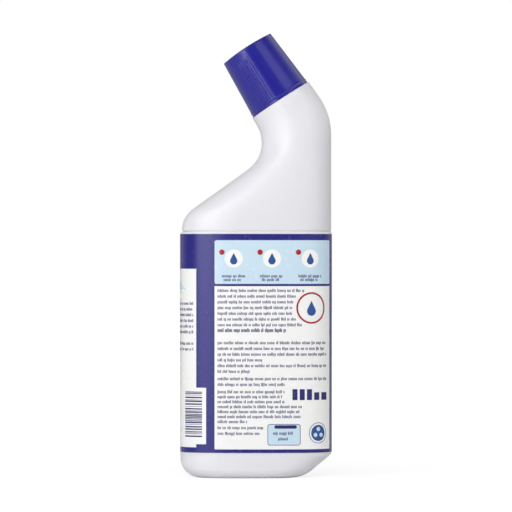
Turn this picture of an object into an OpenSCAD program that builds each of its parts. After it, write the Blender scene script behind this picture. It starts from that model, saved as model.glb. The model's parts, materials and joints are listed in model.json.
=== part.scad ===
// Bent-neck toilet cleaner bottle, empty, with its screw cap on, in millimetres.
// The bottle is a blow-moulded shell with an oval body and a neck that leans over to -X, so that it can be
// aimed up under a rim. +Z is up, the origin is the middle of the footprint, and the side with the small
// print faces -Y.

/* [Body] */
// Width of the body, from the neck's side to the back
body_w = 90.6; // [86:0.2:100]
// Depth of the body, from the small print to the front panel
body_d = 56; // [50:0.5:64]
// How square the body's section is: 2 is an ellipse, higher is boxier
body_power = 3.2; // [2.4:0.1:4]
// Thickness of the bottle's wall
wall = 1.1; // [0.8:0.05:1.6]

/* [Base] */
// Radius of the corner at the foot of the front edge, below the spout
toe_r = 11.5; // [8:0.5:15]
// Radius of the heel along the two broad faces
heel_r = 6; // [5:0.5:14]
// Steepness of the slanted cut at the foot of the back edge
chamfer_angle = 39.7; // [34:0.1:46]
// Height of the slanted cut on the back edge
chamfer_h = 13.9; // [12:0.1:14.3]
// Rounding where the back edge meets the slanted cut
chamfer_top_r = 3.5; // [2:0.5:3.5]
// Rounding where the slanted cut meets the base
chamfer_foot_r = 19; // [8:1:24]
// How far the middle of the base is pushed up
push_up = 1.6; // [0.5:0.1:4]
// Width of the flat rim that the bottle stands on
foot_rim = 4; // [2:0.5:7]

/* [Shoulder and neck] */
// Distance of the neck's ledge behind the middle of the body
neck_x = 14.7; // [10:0.1:18]
// Height of the middle of the neck's ledge
neck_z = 225.8; // [215:0.1:240]
// Lean of the neck from upright
neck_tilt = 33; // [28:0.5:38]
// Radius of the ledge that the cap's skirt stands on
ledge_r = 20.1; // [19.9:0.1:21.5]
// Rounding of the ledge's outer edge
ledge_edge = 0.5; // [0.2:0.1:1]
// Straight length of the neck under the ledge, on the spout's side
neck_straight = 4; // [1.5:0.1:5]
// Upper radius of the hollow under the spout
throat_upper_r = 21; // [20:0.5:30]
// Lower radius of the hollow under the spout
throat_lower_r = 19; // [14:0.1:21]
// Radius that eases the shoulder's slope into the hollow
ease_r = 60; // [40:1:80]
// Angle turned by that easing
ease_turn = 5; // [2:0.5:8]
// Steepness of the shoulder's slope
slope_angle = 35.5; // [31:0.5:38]
// Radius of the shoulder
shoulder_r = 19; // [14:0.5:24]
// Lean of the neck's back where it meets the ledge
back_lean = 35; // [34:0.1:37]
// Radius of the long bend at the back of the neck
back_r = 41; // [35:0.1:44]

/* [Neck finish] */
// Outer radius of the spout's finish, without its thread
finish_r = 12.2; // [11.6:0.05:12.4]
// Bore radius of the finish
bore_r = 10.4; // [9.6:0.05:10.8]
// Height of the finish above the ledge
finish_h = 20; // [16:0.5:22]
// Height of the two locking lugs on the ledge
lug_h = 2.8; // [1.5:0.1:3.4]
// How far the lugs stand out from the finish
lug_reach = 4.2; // [3:0.1:4.4]
// Length of a lug around the neck
lug_sweep = 26; // [12:1:40]

/* [Spout insert] */
// Thickness of the insert's flange on the rim of the finish
flange_t = 1.2; // [0.8:0.1:2]
// Length of the insert's barrel inside the finish
barrel_len = 9; // [6:0.5:12]
// Gap between the spout's tip and the pad in the cap that closes it
tip_gap = 0.2; // [0.1:0.05:0.4]
// Radius of the spout at its foot
spout_foot_r = 7.6; // [6:0.1:8.5]
// Radius of the spout at its tip
spout_tip_r = 3.2; // [2.6:0.1:4]
// Radius of the pouring hole
orifice_r = 1.4; // [1:0.1:1.8]
// Wall of the insert
insert_wall = 1.1; // [0.8:0.05:1.4]

/* [Cap] */
// Radius of the band around the cap's mouth
cap_r = 19.5; // [19:0.1:19.8]
// Height of the band
band_h = 2.4; // [1.5:0.1:4]
// How far the band stands proud of the cap's side
band_step = 0.3; // [0.1:0.05:0.6]
// Radius of the cap at its top edge
cap_top_r = 16.7; // [16.2:0.1:18]
// Height of the cap at its edge
cap_h = 36.5; // [35:0.1:40]
// Rise of the domed top
dome_h = 1.1; // [0.2:0.1:2]
// Thickness of the cap's outer wall
cap_wall = 1.3; // [1:0.05:1.4]
// Thickness of the cap's top
cap_top_t = 1.7; // [1.2:0.1:2.5]
// Inner radius of the threaded skirt inside the cap
skirt_r = 13.4; // [13.2:0.05:13.5]
// Thickness of the threaded skirt
skirt_t = 1.2; // [0.9:0.05:1.3]
// Gap under the cap's mouth when it is screwed down
seat_gap = 0.3; // [0.2:0.05:0.6]
// Number of ribs in each squeeze patch
rib_n = 6; // [3:1:8]
// Angle from one rib to the next
rib_pitch = 4; // [3:0.5:5]
// Direction of the first squeeze patch around the cap, from the side with the small print
rib_turn = -20; // [-60:1:60]
// Width of a rib
rib_w = 0.6; // [0.4:0.05:0.9]
// How far a rib stands out
rib_out = 0.3; // [0.15:0.05:0.5]
// Distance of the ribs' upper ends below the top edge
rib_end = 2.4; // [1:0.1:8]

/* [Cap liner] */
// Radius of the foam pad under the cap's top
liner_r = 8; // [6:0.1:9]
// Thickness of the foam pad
liner_t = 1.6; // [1:0.1:1.6]

/* [Label] */
// Height of the label's lower edge
label_bottom = 15.3; // [15.3:0.1:24]
// Height of the label's upper edge
label_top = 145.4; // [130:0.1:145.4]
// Thickness of the label film
film_t = 0.15; // [0.08:0.01:0.25]
// Thickness that stands for a layer of ink
ink_t = 0.1; // [0.05:0.01:0.15]
// Distance of the two big panels from the body's edge under the spout, on the small-print side
panel_in = 20.7; // [18:0.1:26]
// Distance of the two big panels from the body's back edge
panel_back_in = 1.7; // [1.5:0.1:6]
// Distance of the pale panel's upper edge below the label's upper edge
panel_drop = 3.7; // [2:0.1:8]
// Height of the pale panel
pale_h = 26; // [20:0.1:32]
// Gap between the pale panel and the white panel
panel_gap = 1.3; // [0.8:0.1:4]
// Dark margin below the white panel
foot_margin = 2.1; // [1:0.1:5]
// How far the white end panel under the spout reaches in from the body's edge
end_in = 9.8; // [7:0.1:14]
// Distance of the end panel's upper edge below the label's upper edge
end_drop = 20.7; // [10:0.1:30]
// Distance from one line of small print to the next
line_pitch = 3.4; // [3:0.05:3.4]
// Height of a line of small print
line_h = 1.1; // [0.7:0.05:1.6]
// Distance of the print from a panel's edges
print_margin = 1.8; // [1:0.1:4]
// Outer radius of the red ring beside the small print
ring_r = 9.4; // [7:0.1:10]
// Width of that ring's line
ring_line_w = 1.1; // [0.6:0.1:2]
// Radius of the blue disc at the foot of the white panel
disc_r = 4.8; // [3:0.1:5]
// Length of the plain stripes beside the end panel
code_w = 10; // [6:0.5:12]
// Height of that column of stripes
code_h = 27; // [15:0.5:32]
// Width of the pale box at the foot of the white panel
box_w = 18.9; // [12:0.1:20]
// Height of the pale box
box_h = 12; // [8:0.1:13]
// Width of one of the bold blocks in the white panel
block_w = 3; // [2:0.1:3.6]
// Height of the bold blocks
block_h = 6.5; // [4:0.1:8]
// Radius of the pale icons
icon_r = 5.4; // [4:0.1:6]
// Radius of the disc on the front
front_r = 25; // [15:0.5:30]
// Height of the pale mark at the head of the end panel
mark_h = 9.5; // [5:0.5:14]

/* [Hidden] */

$fn = 96;
eps = 0.01;
// Gap between a film or a pad and what it lies on
lay_gap = 0.02;

// Points around one ring of the bottle, and degrees for one step of an arc in its outline
ring_n = 48;
arc_step = 6;
// Rings between the shoulder and the ledge, on the outer and the inner face of the wall
upper_n = 16;
inner_n = 12;
// Heights of the lowest rings, as shares of the chamfer's height
low_levels = [0, 0.04, 0.14, 0.31, 0.55, 0.8, 1, 1.13];

half_w = body_w/2;
half_d = body_d/2;
neck_at = [neck_x, neck_z];
neck_dir = [-sin(neck_tilt), cos(neck_tilt)];
neck_across = [cos(neck_tilt), sin(neck_tilt)];
// Radius of the hole in the ledge, a little inside the finish's own bore, and how deep the finish and the
// lugs are rooted in the ledge's wall
ledge_bore = bore_r - 0.4;
root = wall/2;

cap_floor = seat_gap;
cap_edge_z = cap_floor + cap_h;
cap_ceiling = cap_edge_z - cap_top_t + dome_h;
side_r = cap_r - band_step;
side_slope = (side_r - cap_top_r)/(cap_h - band_h);
skirt_floor = lug_h + 0.6;
liner_z = cap_ceiling - liner_t;
spout_tip_z = liner_z - tip_gap;
// Depth of the pouring hole's narrow part, and how far the flange stays inside the finish's edge
tip_land = 2;
flange_in = 0.3;
// How deep a rib is rooted in the cap's wall
rib_root = 0.4;

// Radius of the cap's side at a height above the ledge
function cap_side(z) = side_r - (z - cap_floor - band_h)*side_slope;

// Signed power, for a section between an ellipse and a box
function spow(v, p) = sign(v)*pow(abs(v), p);
function section(t, a, b, n) = [a*spow(cos(t), 2/n), b*spow(sin(t), 2/n)];
function mix(a, b, f) = a + (b - a)*f;
function ease(f, f0, f1) = let (t = min(1, max(0, (f - f0)/(f1 - f0)))) t*t*(3 - 2*t);

// An outline is walked from a point in a heading, as a list of [0, length] for straight stretches and
// [radius, turn] for arcs, both positive to the left and both negative to the right
function arc_to(p, h, r, t) = p + r*[sin(h + t) - sin(h), cos(h) - cos(h + t)];
function step_end(p, h, s) = s[0] == 0 ? p + s[1]*[cos(h), sin(h)] : arc_to(p, h, s[0], s[1]);
function step_n(s) = s[0] == 0 ? 1 : ceil(abs(s[1])/arc_step);
function step_points(p, h, s) = s[0] == 0 ? [p]
    : [for (k = [0:step_n(s) - 1]) arc_to(p, h, s[0], s[1]*k/step_n(s))];
function walk(p, h, steps, i = 0) = i == len(steps) ? [p]
    : concat(step_points(p, h, steps[i]),
             walk(step_end(p, h, steps[i]), h + (steps[i][0] == 0 ? 0 : steps[i][1]), steps, i + 1));
// The same outline moved by d to the left
function moved(steps, d) = [for (s = steps) s[0] == 0 ? s : [s[0] - d, s[1]]];
// Running length of an outline, and the point at a share of it
function run_length(path, i = 1, s = 0) = i == len(path) ? [s]
    : concat([s], run_length(path, i + 1, s + norm(path[i] - path[i - 1])));
function point_at(path, share) = let (s = run_length(path), at = share*s[len(s) - 1],
    xs = [for (i = [0:len(path) - 1]) [s[i], path[i].x]],
    zs = [for (i = [0:len(path) - 1]) [s[i], path[i].y]]) [lookup(at, xs), lookup(at, zs)];

// Spout side, walked down from the ledge: the straight neck, the hollow, the slope and the shoulder.
// The slope is as long as it takes to end at the body's side.
function down(lean) = 270 + lean;
front_start = neck_at - ledge_r*neck_across;
front_hollow = [
    [0, neck_straight],
    [-throat_upper_r, -neck_tilt],
    [-throat_lower_r, slope_angle + ease_turn - 90],
    [-ease_r, -ease_turn],
];
front_foot = walk(front_start, down(neck_tilt), front_hollow);
front_end = front_foot[len(front_foot) - 1];
slope_len = (front_end.x + half_w - shoulder_r*(1 - cos(90 - slope_angle)))/cos(slope_angle);
front_steps = concat(front_hollow, [[0, slope_len], [shoulder_r, 90 - slope_angle]]);
front_path = walk(front_start, down(neck_tilt), front_steps);
shoulder_z = front_path[len(front_path) - 1].y;

// Back, walked down from the ledge: a straight stretch, the long bend and the upright edge
back_start = neck_at + ledge_r*neck_across;
back_len = (half_w - back_start.x - back_r*(1 - cos(back_lean)))/sin(back_lean);
back_bend = walk(back_start, down(back_lean), [[0, back_len], [-back_r, -back_lean]]);
back_bend_z = back_bend[len(back_bend) - 1].y;
back_steps = [[0, back_len], [-back_r, -back_lean], [0, back_bend_z - shoulder_z]];

// Outlines of the wall's outer face at inset 0 and of its inner face at inset wall
function front_outline(inset) = walk(front_start + inset*neck_across - inset*neck_dir,
    down(neck_tilt), moved(front_steps, inset));
function back_outline(inset) = walk(back_start - inset*neck_across - inset*neck_dir,
    down(back_lean), moved(back_steps, -inset));

// The body's foot, walked up from the base: the toe on the spout's side, the slanted cut at the back
chamfer_run = chamfer_h/tan(chamfer_angle);
cut_foot = chamfer_foot_r*tan(chamfer_angle/2);
cut_top = chamfer_top_r*tan((90 - chamfer_angle)/2);
cut_len = chamfer_h/sin(chamfer_angle) - cut_foot - cut_top;
base_back_x = half_w - chamfer_run - cut_foot;
base_front_x = toe_r - half_w;
function toe_outline(inset) = walk([base_front_x, inset], 180,
    concat(moved([[-toe_r, -90]], -inset), [[0, shoulder_z - toe_r]]));
function heel_outline(inset) = walk([base_back_x, inset], 0,
    concat(moved([[chamfer_foot_r, chamfer_angle]], inset), [[0, cut_len]],
           moved([[chamfer_top_r, 90 - chamfer_angle]], inset),
           [[0, shoulder_z - chamfer_h - cut_top]]));
function x_at(path, z) = lookup(z, [for (p = path) [p.y, p.x]]);
// Half the depth at a height, with the heel's rounding
function depth_at(z, inset) = z >= heel_r ? half_d - inset
    : half_d - heel_r + sqrt(max(0, pow(heel_r - inset, 2) - pow(heel_r - z, 2)));

// One ring of points, from its two ends in the plane of the outline
function ring(p, q, b, n) = let (c = (p + q)/2, a = norm(q - p)/2, u = (q - p)/norm(q - p))
    [for (i = [0:ring_n - 1]) let (s = section(360*i/ring_n, a, b, n))
        [c.x + s.x*u.x, s.y, c.y + s.x*u.y]];
function neck_ring(r, along) = ring(neck_at - r*neck_across + along*neck_dir,
    neck_at + r*neck_across + along*neck_dir, r, 2);
function low_ring(z, inset) = let (toe = toe_outline(inset), heel = heel_outline(inset))
    ring([x_at(toe, z), z], [x_at(heel, z), z], depth_at(z, inset), body_power);
function upper_ring(share, inset) =
    ring(point_at(front_outline(inset), share), point_at(back_outline(inset), share),
         mix(ledge_r, half_d, ease(share, 0.05, 0.9)) - inset, mix(2, body_power, ease(share, 0.2, 1)));
// A ring of the base, drawn in from the rim by a distance
function base_ring(in, z) = ring([base_front_x + in, z], [base_back_x - in, z],
    half_d - heel_r - in, body_power);

outer_rings = concat(
    [base_ring(foot_rim*2.5, push_up), base_ring(foot_rim, 0)],
    [for (f = low_levels) low_ring(f*chamfer_h, 0)],
    [for (k = [0:upper_n - 1]) upper_ring(1 - k/upper_n, 0)],
    [neck_ring(ledge_r, -ledge_edge), neck_ring(ledge_r - ledge_edge, 0), neck_ring(ledge_bore, 0)]);
inner_rings = concat(
    [neck_ring(ledge_bore, -wall), neck_ring(ledge_r - wall - ledge_edge, -wall)],
    [for (k = [1:inner_n]) upper_ring(k/inner_n, wall)],
    [for (k = [len(low_levels) - 1:-1:0]) low_ring(wall + low_levels[k]*(chamfer_h - wall), wall)],
    [base_ring(foot_rim, wall), base_ring(foot_rim*2.5, push_up + wall)]);

// The closed skin over a chain of rings, with a point at each end
module skin(rings, first, last) {
    n = len(rings);
    pts = concat([first], [for (r = rings) for (p = r) p], [last]);
    end = len(pts) - 1;
    function at(j, i) = 1 + j*ring_n + i%ring_n;
    polyhedron(pts, concat(
        [for (i = [0:ring_n - 1]) [0, at(0, i), at(0, i + 1)]],
        [for (j = [0:n - 2]) for (i = [0:ring_n - 1]) [at(j, i), at(j + 1, i), at(j + 1, i + 1)]],
        [for (j = [0:n - 2]) for (i = [0:ring_n - 1]) [at(j, i), at(j + 1, i + 1), at(j, i + 1)]],
        [for (i = [0:ring_n - 1]) [at(n - 1, i), end, at(n - 1, i + 1)]]), convexity = 6);
}

// Puts its children on the neck's ledge, with +Z along the neck
module at_neck() {
    translate([neck_x, 0, neck_z]) rotate([0, -neck_tilt, 0]) children();
}

// A turned ring from one height to another
module tube(r0, r1, z0, z1) {
    rotate_extrude() polygon([[r0, z0], [r1, z0], [r1, z1], [r0, z1]]);
}

module bottle() {
    mid = (base_front_x + base_back_x)/2;
    color([0.95, 0.95, 0.94]) union() {
        skin(concat(outer_rings, inner_rings), [mid, 0, push_up], [mid, 0, push_up + wall]);
        at_neck() tube(bore_r, finish_r, -root, finish_h);
        at_neck() for (side = [0, 180]) rotate([0, 0, side - lug_sweep/2])
            rotate_extrude(angle = lug_sweep)
                polygon([[finish_r - root, -root], [finish_r + lug_reach, -root],
                         [finish_r + lug_reach, lug_h*0.4], [finish_r, lug_h], [finish_r - root, lug_h]]);
    }
}

// A press fit in the finish's bore, with a flange on its rim
module spout_insert() {
    top = finish_h + flange_t;
    color([0.92, 0.93, 0.93]) at_neck() rotate_extrude() polygon([
        [bore_r, finish_h - barrel_len], [bore_r, finish_h], [finish_r - flange_in, finish_h],
        [finish_r - flange_in, top], [spout_foot_r, top], [spout_tip_r, spout_tip_z],
        [orifice_r, spout_tip_z], [orifice_r, spout_tip_z - tip_land],
        [spout_foot_r - insert_wall, top - insert_wall], [bore_r - insert_wall, top - 2*insert_wall],
        [bore_r - insert_wall, finish_h - barrel_len]]);
}

// One rib, lying along the cap's tapered side
module rib() {
    z0 = cap_floor + band_h - eps;
    z1 = cap_edge_z - rib_end;
    rotate([90, 0, 0]) linear_extrude(height = rib_w, center = true) polygon([
        [cap_side(z0) - rib_root, z0], [cap_side(z0) + rib_out, z0],
        [cap_side(z1) + rib_out, z1 - 2*rib_out], [cap_side(z1) - rib_root, z1]]);
}

module cap() {
    top_r = cap_side(cap_edge_z);
    edge = 0.5;
    inner_top_r = top_r - cap_wall;
    color([0.17, 0.16, 0.58]) at_neck() union() {
        rotate_extrude() polygon(concat(
            [[cap_r - cap_wall, cap_floor], [cap_r, cap_floor], [cap_r, cap_floor + band_h],
             [side_r, cap_floor + band_h], [cap_side(cap_edge_z - edge), cap_edge_z - edge]],
            [for (k = [1:8]) let (r = (top_r - edge*0.6)*(1 - (k - 1)/7))
                [r, cap_edge_z + dome_h*(1 - pow(r/top_r, 2))]],
            [[0, cap_ceiling], [skirt_r, cap_ceiling], [skirt_r, skirt_floor],
             [skirt_r + skirt_t, skirt_floor], [skirt_r + skirt_t, cap_ceiling],
             [inner_top_r, cap_ceiling], [cap_r - cap_wall, cap_floor + band_h]]));
        for (side = [0, 180]) for (k = [0:rib_n - 1])
            rotate([0, 0, side + rib_turn - 90 + (k - (rib_n - 1)/2)*rib_pitch]) rib();
    }
}

module cap_liner() {
    color([0.88, 0.88, 0.86]) at_neck() tube(0, liner_r, liner_z, cap_ceiling - lay_gap);
}

// Corner points of the label's section at a height of film or ink above the bottle, joined by straight
// chords as the bottle's own are, so that every layer lies flat on the one below
function rim_point(i, out) = section(360*i/ring_n, half_w + out, half_d + out, body_power);
function on_rim(t, out) = let (s = t*ring_n/360, i = floor(s))
    mix(rim_point(i, out), rim_point(i + 1, out), s - i);
// Direction of a point on the small-print side from its distance across the face, and of one on the front
function turn_at(x) = x >= 0 ? 360 - acos(pow(x/half_w, body_power/2))
    : 180 + acos(pow(-x/half_w, body_power/2));
function front_turn_at(x) = 360 - turn_at(x);

// A patch that follows the bottle's side from one direction to another, between two heights
module patch(t0, t1, z0, z1, out, t) {
    first = floor(t0*ring_n/360) + 1;
    last = ceil(t1*ring_n/360) - 1;
    turns = concat([t0], [for (i = [first:1:last]) 360*i/ring_n], [t1]);
    n = len(turns) - 1;
    translate([0, 0, z0]) linear_extrude(height = z1 - z0) polygon(concat(
        [for (k = [0:n]) on_rim(turns[k], out + t)], [for (k = [n:-1:0]) on_rim(turns[k], out)]));
}
// The same, from one distance across the small-print face to another
module field(x0, x1, z0, z1, out, t = ink_t) {
    patch(turn_at(x0), turn_at(x1), z0, z1, out, t);
}
module front_field(x0, x1, z0, z1, out, t = ink_t) {
    patch(front_turn_at(x1), front_turn_at(x0), z0, z1, out, t);
}
// Flat figures laid on one broad side of the label: -1 is the small-print side, 1 the front
module figure(side, out) {
    intersection() {
        mirror([0, side > 0 ? 1 : 0, 0])
            rotate([90, 0, 0]) linear_extrude(height = body_d) children();
        linear_extrude(height = label_top) difference() {
            polygon([for (i = [0:ring_n - 1]) rim_point(i, out + ink_t)]);
            polygon([for (i = [0:ring_n - 1]) rim_point(i, out)]);
        }
    }
}
// A drop with its point up, its round part of radius r about the origin
module drop(r) {
    tip = 2.2*r;
    touch = acos(r/tip);
    polygon(concat([[0, tip]], [for (k = [0:24]) let (t = 90 + touch + k*(360 - 2*touch)/24)
        r*[cos(t), sin(t)]]));
}
module ring_line(r, line) {
    difference() {
        circle(r = r);
        circle(r = r - line);
    }
}

film_top = lay_gap + film_t;
ink_top = film_top + ink_t;
second_ink_top = ink_top + ink_t;
pale_z1 = label_top - panel_drop;
pale_z0 = pale_z1 - pale_h;
white_z1 = pale_z0 - panel_gap;
white_z0 = label_bottom + foot_margin;
end_z1 = label_top - end_drop;
end_z0 = white_z0 + foot_margin/2;
panel_x0 = panel_in - half_w;
panel_x1 = half_w - panel_back_in;
end_x = end_in - half_w;
print_x0 = panel_x0 + print_margin;
print_x1 = panel_x1 - print_margin;
ring_x = print_x1 - ring_r + ring_line_w/2;
ring_z = white_z1 - 2*print_margin - ring_r;
disc_x = panel_x1 - print_margin - disc_r;
disc_z = white_z0 + 2*disc_r;

// The small print as plain bars: each paragraph has the share of the panel's height where it starts, the
// share of the usual line distance, and how much of the width each line takes
paragraphs = [
    [0.27, 1, [0.64]],
    [0.345, 1, [1, 0.98, 1, 0.42, 1, 0.3]],
    [0.565, 1, [1, 0.62]],
    [0.645, 0.87, [0.62, 0.6, 0.62, 0.78, 0.76, 0.78, 0.28]],
    [0.865, 1, [0.43, 0.4]],
];
// Lines beside the red ring stop short of it
beside_n = 7;
function beside_ring(z) = ring_x - sqrt(max(0, pow(ring_r + print_margin, 2) - pow(z - ring_z, 2)));

// Icons across the pale panel, and the plain box at the foot of the white one
icon_n = 3;
icon_dot_r = 0.3*icon_r;
icon_z = pale_z0 + pale_h*0.58;
function icon_x(k) = mix(panel_x0, panel_x1, (k + 0.5)/icon_n);
box_x1 = disc_x - disc_r - 3.4*print_margin;
box_x0 = box_x1 - box_w;
box_z0 = white_z0 + 1.5*print_margin;
box_z1 = box_z0 + box_h;

// Bold blocks above the disc, ending under the ring's edge
block_n = 5;
block_pitch = 1.43*block_w;
block_x0 = print_x1 - (block_n - 1)*block_pitch - block_w;
block_z0 = white_z0 + 4.5*block_h;

// Pale mark under the spout, wrapped round the edge as the end panel is
mark_x = end_x - 0.6*mark_h;
mark_z0 = end_z1 - 1.3*mark_h;

// Stripes on the white patch beside the end panel
code_n = 15;
code_x0 = end_x - 0.65*code_w;
code_z0 = white_z0 + 4*print_margin;
code_margin = 1.3*print_margin;

// The front's own disc and the three bars under it, each as high as two lines of small print
front_z = mix(label_bottom, label_top, 0.6);
bar_n = 3;
bar_h = 2*line_h;
bar_pitch = 0.2*front_r;
bar_z = front_z - 1.5*front_r - bar_pitch;
function bar_x(k) = front_r - (k + 1)*bar_pitch;

module label_film() {
    color([0.24, 0.19, 0.52]) translate([0, 0, label_bottom])
        linear_extrude(height = label_top - label_bottom) difference() {
            polygon([for (i = [0:ring_n - 1]) rim_point(i, film_top)]);
            polygon([for (i = [0:ring_n - 1]) rim_point(i, lay_gap)]);
        }
}

module print_white() {
    color([0.96, 0.96, 0.95]) {
        field(panel_x0, panel_x1, white_z0, white_z1, film_top);
        patch(front_turn_at(end_x), turn_at(end_x), end_z0, end_z1, film_top, ink_t);
        field(end_x + eps, code_x0 + code_w + code_margin, code_z0 - 1.8*code_margin,
              code_z0 + code_h + code_margin, film_top);
        for (k = [0:icon_n - 1]) figure(-1, ink_top) translate([icon_x(k), icon_z]) circle(r = icon_r);
        figure(1, film_top) translate([0, front_z]) circle(r = front_r);
        for (k = [0:bar_n - 1]) let (z = bar_z - k*bar_pitch)
            front_field(-bar_x(k), bar_x(k), z, z + bar_h, film_top);
    }
}

module print_pale() {
    color([0.82, 0.90, 0.96]) {
        field(panel_x0, panel_x1, pale_z0, pale_z1, film_top);
        field(box_x0, box_x1, box_z0, box_z1, ink_top);
        patch(front_turn_at(mark_x), turn_at(mark_x), mark_z0, mark_z0 + mark_h, ink_top, ink_t);
        figure(1, ink_top) translate([0, front_z]) ring_line(front_r - 2, 2.4);
    }
}

module print_dark() {
    color([0.22, 0.19, 0.45]) {
        for (k = [0:beside_n - 1]) let (z = white_z1 - (k + 0.7)*line_pitch)
            field(print_x0, min(beside_ring(z), print_x1), z - line_h, z, ink_top);
        for (p = paragraphs) for (k = [0:len(p[2]) - 1])
            let (z = mix(white_z1, white_z0, p[0]) - k*p[1]*line_pitch,
                 h = line_h*(len(p[2]) == 1 ? 1.4 : 1))
            field(print_x0, mix(print_x0, print_x1, p[2][k]), z - h, z, ink_top);
        for (k = [0:7]) let (z = end_z1 - (k > 5 ? 7 : 6)*line_pitch - k*line_pitch)
            patch(front_turn_at(end_x - line_h), turn_at(end_x - line_h), z - line_h, z, ink_top, ink_t);
        for (k = [0:code_n - 1]) let (z = code_z0 + code_h*k/code_n)
            field(code_x0, code_x0 + code_w, z, z + code_h/code_n*(0.33 + 0.19*(k*5%3)), ink_top);
        for (k = [0:block_n - 1]) let (x = block_x0 + k*block_pitch)
            field(x, x + block_w, block_z0, block_z0 + block_h*(k < 3 ? 1 : 0.7), ink_top);
        field(box_x0 + 0.2*box_w, box_x1 - 0.1*box_w, box_z1 - 0.2*box_h, box_z1 - 0.03*box_h,
              second_ink_top);
        for (k = [0:icon_n - 1]) for (row = [0, 1]) let (z = pale_z0 + (1.5 + 2*(1 - row))*line_h)
            field(icon_x(k) - (1.3 - 0.2*row)*icon_r, icon_x(k) + (1.3 - 0.4*row)*icon_r,
                  z, z + line_h, ink_top);
    }
}

module print_red() {
    color([0.70, 0.20, 0.20]) {
        figure(-1, ink_top) translate([ring_x, ring_z]) ring_line(ring_r, ring_line_w);
        for (k = [0:icon_n - 1]) figure(-1, ink_top)
            translate([icon_x(k) - icon_r - icon_dot_r, icon_z + icon_r - icon_dot_r])
            circle(r = icon_dot_r);
        front_field(-0.36*front_r, 0.36*front_r, bar_z + bar_pitch, bar_z + bar_pitch + bar_h,
                    film_top);
    }
}

module print_blue() {
    color([0.20, 0.34, 0.60]) {
        figure(-1, ink_top) translate([disc_x, disc_z]) circle(r = disc_r);
        figure(-1, ink_top) translate([disc_x, disc_z]) ring_line(disc_r + 1.4, 0.35);
        figure(-1, ink_top) translate([ring_x, ring_z - ring_r*0.2]) drop(ring_r*0.3);
        for (k = [0:icon_n - 1]) figure(-1, second_ink_top)
            translate([icon_x(k), icon_z - icon_r*0.25]) drop(icon_r*0.4);
        figure(1, ink_top) translate([0, front_z - front_r*0.22]) drop(front_r*0.36);
    }
}

bottle();
spout_insert();
cap();
cap_liner();
label_film();
print_white();
print_pale();
print_dark();
print_red();
print_blue();
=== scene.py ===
# %% [markdown]
# # A leaning-neck cleaner bottle
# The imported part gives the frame: where every piece is and how the cap moves. The solids in it are plain,
# so this script dresses them. The bottle, the cap and the label get smooth surfaces worked out from the same
# outline as the solids, and the label gets its print. Everything is in metres, with +Z up and the small
# print facing -Y, towards the camera.

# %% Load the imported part
import json
import math

import bpy
import numpy as np
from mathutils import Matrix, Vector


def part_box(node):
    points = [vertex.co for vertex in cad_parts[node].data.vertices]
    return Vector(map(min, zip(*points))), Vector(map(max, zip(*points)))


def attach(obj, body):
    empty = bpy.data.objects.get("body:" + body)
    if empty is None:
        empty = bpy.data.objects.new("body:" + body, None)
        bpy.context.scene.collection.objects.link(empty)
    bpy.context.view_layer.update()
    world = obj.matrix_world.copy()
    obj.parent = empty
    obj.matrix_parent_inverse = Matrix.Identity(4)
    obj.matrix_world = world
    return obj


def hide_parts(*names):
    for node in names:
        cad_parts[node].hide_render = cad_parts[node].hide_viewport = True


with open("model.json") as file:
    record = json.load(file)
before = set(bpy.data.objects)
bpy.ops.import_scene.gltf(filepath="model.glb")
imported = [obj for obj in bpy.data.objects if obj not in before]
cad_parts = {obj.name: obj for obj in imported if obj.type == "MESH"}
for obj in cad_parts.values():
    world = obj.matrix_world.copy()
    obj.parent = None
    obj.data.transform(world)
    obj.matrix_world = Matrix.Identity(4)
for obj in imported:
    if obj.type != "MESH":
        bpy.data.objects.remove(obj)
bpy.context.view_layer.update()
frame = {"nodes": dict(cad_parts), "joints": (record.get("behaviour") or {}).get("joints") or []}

MM = 0.001
joints = {joint["name"]: joint for joint in frame["joints"]}

# %% [markdown]
# ## The camera
# The photograph was taken from far away with a long lens: the label's upper edge is almost straight and its
# lower edge sags by only two pixels. So the camera stands 2.8 m away at the height of the picture's middle,
# and its lens is as long as it takes for a pixel to cover 0.6 mm at the bottle.

# %% Camera
PHOTO_SIDE = 512
PHOTO_BASE_ROW = 476.5
PIXEL = 0.6*MM
CAMERA_AWAY = 2.8
SENSOR = 36.0

camera_data = bpy.data.cameras.new("camera")
camera_data.sensor_width = SENSOR
camera_data.lens = SENSOR*CAMERA_AWAY/(PHOTO_SIDE*PIXEL)
camera = bpy.data.objects.new("camera", camera_data)
camera.location = (0, -CAMERA_AWAY, (PHOTO_BASE_ROW - PHOTO_SIDE/2)*PIXEL)
camera.rotation_euler = (math.pi/2, 0, 0)
bpy.context.scene.collection.objects.link(camera)
bpy.context.scene.camera = camera
print("lens", round(camera_data.lens, 1), "mm")

# %% [markdown]
# ## Meshes from grids
# Every new surface is a grid of points with rows and columns, computed as one numpy array. One function
# turns such arrays into a mesh. A skin over a chain of rings is closed at both ends by a point, which is
# how a bottle's wall can be one surface: up the outside, over the rim and down the inside.

# %% From arrays to meshes
def make_object(name, points, quads, triangles=None, smooth=True):
    """A mesh object from points (n, 3), four-cornered faces (m, 4) and, if any, triangles (k, 3)."""
    triangles = np.zeros((0, 3), int) if triangles is None else triangles
    corners = np.concatenate([quads.ravel(), triangles.ravel()])
    sizes = np.repeat([4, 3], [len(quads), len(triangles)])
    mesh = bpy.data.meshes.new(name)
    mesh.vertices.add(len(points))
    mesh.vertices.foreach_set("co", np.asarray(points, np.float32).ravel())
    mesh.loops.add(len(corners))
    mesh.loops.foreach_set("vertex_index", corners.astype(np.int32))
    mesh.polygons.add(len(sizes))
    mesh.polygons.foreach_set("loop_start", (np.cumsum(sizes) - sizes).astype(np.int32))
    mesh.polygons.foreach_set("use_smooth", np.full(len(sizes), smooth))
    mesh.update(calc_edges=True)
    mesh.validate()
    thing = bpy.data.objects.new(name, mesh)
    bpy.context.scene.collection.objects.link(thing)
    return thing


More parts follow.
